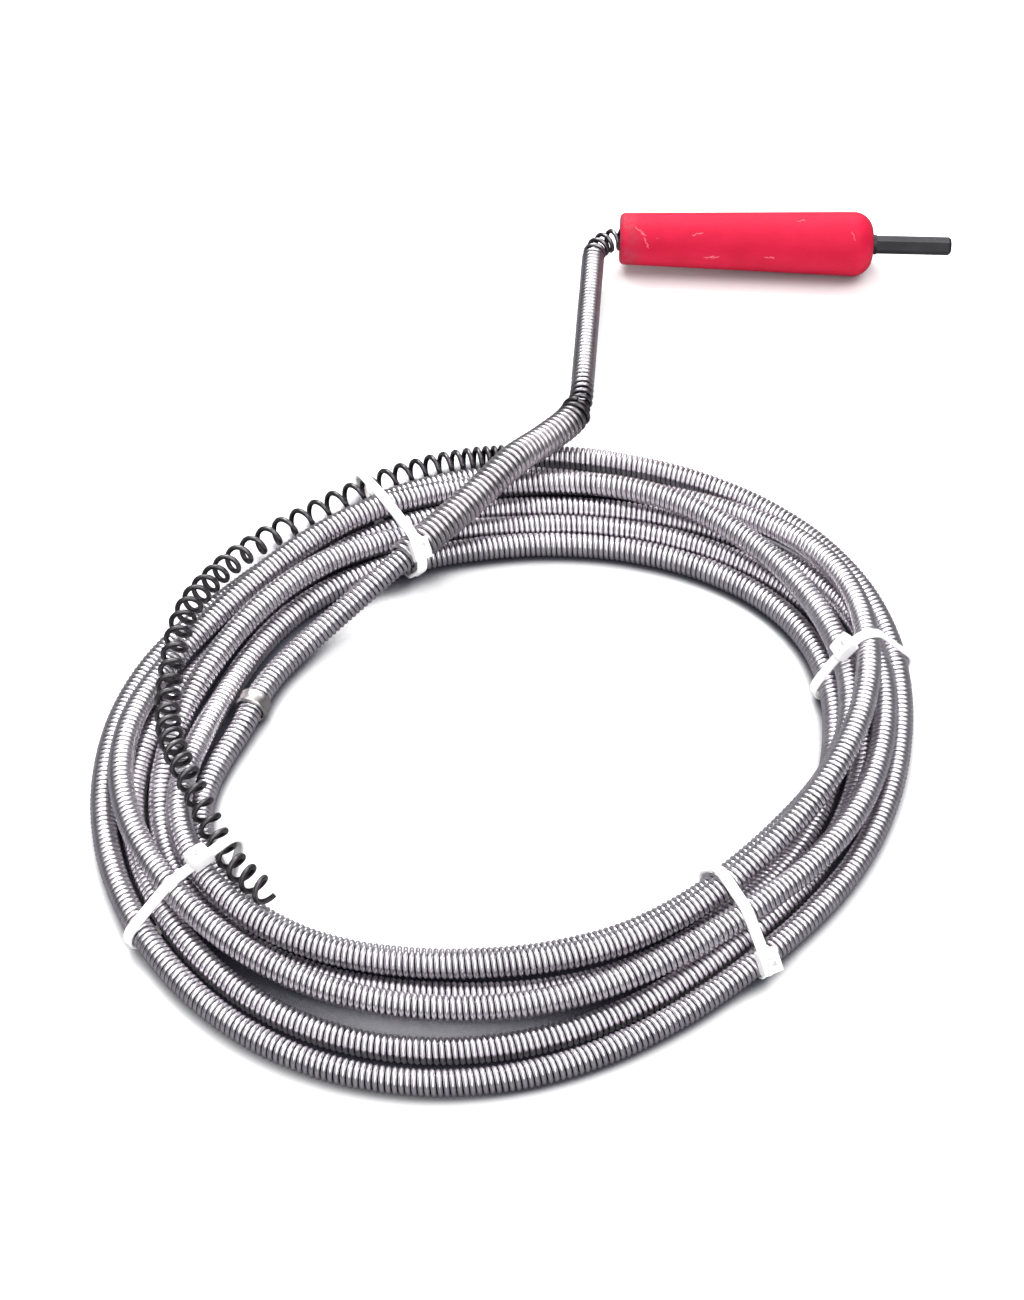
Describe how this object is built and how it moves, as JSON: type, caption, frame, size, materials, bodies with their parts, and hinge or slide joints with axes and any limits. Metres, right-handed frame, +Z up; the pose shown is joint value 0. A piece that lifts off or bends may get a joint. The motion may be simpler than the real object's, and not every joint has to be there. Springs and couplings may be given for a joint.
{
  "type": "drain auger",
  "caption": "Wound spring drain cable tied in a flat coil, with an open boring head and a red turning handle that ends in a hexagon drive shank.",
  "frame": {"origin": "middle of the whole auger's footprint, on the floor", "axes": "+Z up, +X along the handle towards the drill, +Y from the coil to the handle"},
  "size_m": [0.3208, 0.4168, 0.0306],
  "materials": {
    "cable_steel": "bright drawn wire, close wound",
    "head_steel": "dark spring wire",
    "guard_steel": "drawn wire",
    "ferrule_steel": "plated",
    "tie_nylon": "natural nylon",
    "handle_red": "satin moulded, lightly scuffed",
    "bush_nylon": "moulded",
    "barrel_steel": "turned",
    "screw_steel": "dark oxide",
    "washer_steel": "plated",
    "shank_black": "black oxide"
  },
  "bodies": {
    "coil": {"cable_coil": "cable_steel", "guard_spring": "guard_steel", "joint_ferrule": "ferrule_steel", "boring_head": "head_steel", "tie_top": "tie_nylon", "tie_right": "tie_nylon", "tie_front": "tie_nylon", "tie_left": "tie_nylon"},
    "head_tip": {"head_tip": "head_steel"},
    "riser": {"cable_riser": "cable_steel"},
    "neck": {"cable_neck": "cable_steel"},
    "drive": {"drive_shank": "shank_black", "coupling_barrel": "barrel_steel", "set_screw_a": "screw_steel", "set_screw_b": "screw_steel", "cross_pin": "screw_steel", "thrust_washer_front": "washer_steel", "thrust_washer_rear": "washer_steel"},
    "handle": {"handle_sleeve": "handle_red", "front_bush": "bush_nylon", "rear_bush": "bush_nylon"}
  },
  "joints": [
    {"name": "lead_lift", "type": "hinge", "parent": "coil", "child": "riser", "pos_m": [0.01, 0.0905, 0.0152], "axis": [1, 0, 0], "range_deg": [0, 75]},
    {"name": "neck_swing", "type": "hinge", "parent": "riser", "child": "neck", "pos_m": [0.0181, 0.1984, 0.0132], "axis": [0, 0, 1], "range_deg": [-20, 60]},
    {"name": "drive_spin", "type": "hinge", "parent": "neck", "child": "drive", "pos_m": [0.0181, 0.1984, 0.0132], "axis": [0.9993, -0.0366, 0], "continuous": true},
    {"name": "handle_spin", "type": "hinge", "parent": "neck", "child": "handle", "pos_m": [0.0181, 0.1984, 0.0132], "axis": [0.9993, -0.0366, 0], "continuous": true},
    {"name": "head_flex", "type": "hinge", "parent": "coil", "child": "head_tip", "pos_m": [-0.10621, -0.12656, 0.0149], "axis": [-0.7853, -0.6191, 0], "range_deg": [0, 15]}
  ]
}
